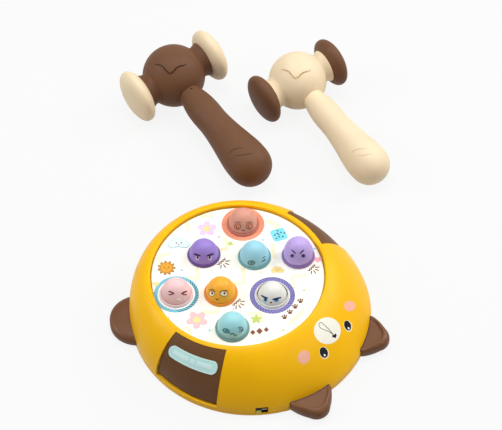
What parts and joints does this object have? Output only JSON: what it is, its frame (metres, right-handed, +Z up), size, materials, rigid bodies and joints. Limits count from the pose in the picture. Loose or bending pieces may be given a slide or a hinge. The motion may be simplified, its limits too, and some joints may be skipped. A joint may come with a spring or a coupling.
{
  "type": "mole pounding game with two hammers",
  "caption": "Round animal-shaped tabletop game base with sprung dome-shaped moles to press down, and ball-headed toy hammers with domed striking faces.",
  "frame": {"origin": "on the underside of the lower shell, at the middle of the round base", "axes": "+Z up, -Y towards the animal's face and ears, +Y towards its feet"},
  "size_m": [0.4656, 0.4473, 0.0803],
  "materials": {
    "shell_yellow": "satin moulded plastic",
    "trim_brown": "fine matt moulded plastic",
    "hammer_brown": "fine matt moulded plastic",
    "hammer_cream": "fine matt moulded plastic",
    "panel_cream": "plain moulded plastic",
    "printed_sheet": "printed film with a soft gloss",
    "label_blue": "smooth moulded plastic",
    "black_plastic": "plain moulded plastic",
    "pale_knob": "smooth moulded plastic",
    "board_green": "lacquered laminate",
    "steel": "plated steel",
    "cell_sleeve": "plain printed steel can",
    "mole_purple": "satin moulded plastic",
    "mole_white": "satin moulded plastic",
    "mole_teal": "satin moulded plastic",
    "mole_orange": "satin moulded plastic",
    "mole_lilac": "satin moulded plastic",
    "mole_salmon": "satin moulded plastic",
    "mole_pink": "satin moulded plastic",
    "mole_mint": "satin moulded plastic"
  },
  "bodies": {
    "base": {"lower_shell": "shell_yellow", "upper_shell": "shell_yellow", "play_panel": "panel_cream", "printed_sheet": "printed_sheet", "collar_purple": "mole_purple", "collar_white": "mole_white", "collar_teal": "mole_teal", "collar_orange": "mole_orange", "collar_lilac": "mole_lilac", "collar_salmon": "mole_salmon", "collar_pink": "mole_pink", "collar_mint": "mole_mint", "spring_purple": "steel", "spring_white": "steel", "spring_teal": "steel", "spring_orange": "steel", "spring_lilac": "steel", "spring_salmon": "steel", "spring_pink": "steel", "spring_mint": "steel", "side_patch_left": "trim_brown", "side_patch_right": "trim_brown", "label_plate": "label_blue", "ear_left": "trim_brown", "ear_right": "trim_brown", "foot_left": "trim_brown", "foot_right": "trim_brown", "power_switch_case": "black_plastic", "circuit_board": "board_green", "speaker": "black_plastic", "battery_1": "cell_sleeve", "battery_2": "cell_sleeve", "battery_3": "cell_sleeve", "contact_plate_left": "steel", "contact_plate_right": "steel", "case_screw_1": "steel", "case_screw_2": "steel", "case_screw_3": "steel", "case_screw_4": "steel"},
    "mole_purple_body": {"mole_purple": "mole_purple"},
    "mole_white_body": {"mole_white": "mole_white"},
    "mole_teal_body": {"mole_teal": "mole_teal"},
    "mole_orange_body": {"mole_orange": "mole_orange"},
    "mole_lilac_body": {"mole_lilac": "mole_lilac"},
    "mole_salmon_body": {"mole_salmon": "mole_salmon"},
    "mole_pink_body": {"mole_pink": "mole_pink"},
    "mole_mint_body": {"mole_mint": "mole_mint"},
    "power_knob_body": {"power_knob": "pale_knob"},
    "battery_door_body": {"battery_door": "shell_yellow", "door_screw": "steel"},
    "brown_hammer": {"brown_hammer_head": "hammer_brown", "brown_hammer_handle": "hammer_brown", "brown_hammer_face_far": "hammer_cream", "brown_hammer_face_near": "hammer_cream"},
    "cream_hammer": {"cream_hammer_head": "hammer_cream", "cream_hammer_handle": "hammer_cream", "cream_hammer_face_far": "hammer_brown", "cream_hammer_face_near": "hammer_brown"}
  },
  "joints": [
    {"name": "mole_purple_press", "type": "slide", "parent": "base", "child": "mole_purple_body", "axis": [0, 0, 1], "range_m": [-0.008, 0.006], "stiffness_N_per_m": 300, "springref_m": 0.0005, "deforming": ["spring_purple"]},
    {"name": "mole_white_press", "type": "slide", "parent": "base", "child": "mole_white_body", "axis": [0, 0, 1], "range_m": [-0.003, 0.011], "stiffness_N_per_m": 300, "springref_m": 0.0005, "deforming": ["spring_white"]},
    {"name": "mole_teal_press", "type": "slide", "parent": "base", "child": "mole_teal_body", "axis": [0, 0, 1], "range_m": [-0.008, 0.006], "stiffness_N_per_m": 300, "springref_m": 0.0005, "deforming": ["spring_teal"]},
    {"name": "mole_orange_press", "type": "slide", "parent": "base", "child": "mole_orange_body", "axis": [0, 0, 1], "range_m": [-0.008, 0.006], "stiffness_N_per_m": 300, "springref_m": 0.0005, "deforming": ["spring_orange"]},
    {"name": "mole_lilac_press", "type": "slide", "parent": "base", "child": "mole_lilac_body", "axis": [0, 0, 1], "range_m": [-0.0132, 0.0008], "stiffness_N_per_m": 300, "springref_m": 0.0005, "deforming": ["spring_lilac"]},
    {"name": "mole_salmon_press", "type": "slide", "parent": "base", "child": "mole_salmon_body", "axis": [0, 0, 1], "range_m": [-0.008, 0.006], "stiffness_N_per_m": 300, "springref_m": 0.0005, "deforming": ["spring_salmon"]},
    {"name": "mole_pink_press", "type": "slide", "parent": "base", "child": "mole_pink_body", "axis": [0, 0, 1], "range_m": [-0.008, 0.006], "stiffness_N_per_m": 300, "springref_m": 0.0005, "deforming": ["spring_pink"]},
    {"name": "mole_mint_press", "type": "slide", "parent": "base", "child": "mole_mint_body", "axis": [0, 0, 1], "range_m": [-0.008, 0.006], "stiffness_N_per_m": 300, "springref_m": 0.0005, "deforming": ["spring_mint"]},
    {"name": "power_knob_slide", "type": "slide", "parent": "base", "child": "power_knob_body", "axis": [0.6455, -0.7638, 0], "range_m": [0, 0.0062]},
    {"name": "battery_door_hinge", "type": "hinge", "parent": "base", "child": "battery_door_body", "pos_m": [-0.0303, 0.036, 0], "axis": [0, 1, 0], "range_deg": [0, 95]},
    {"name": "brown_hammer_lift", "type": "slide", "parent": "base", "child": "brown_hammer", "axis": [0, 0, 1], "range_m": [0, 0.15]},
    {"name": "cream_hammer_lift", "type": "slide", "parent": "base", "child": "cream_hammer", "axis": [0, 0, 1], "range_m": [0, 0.15]}
  ]
}
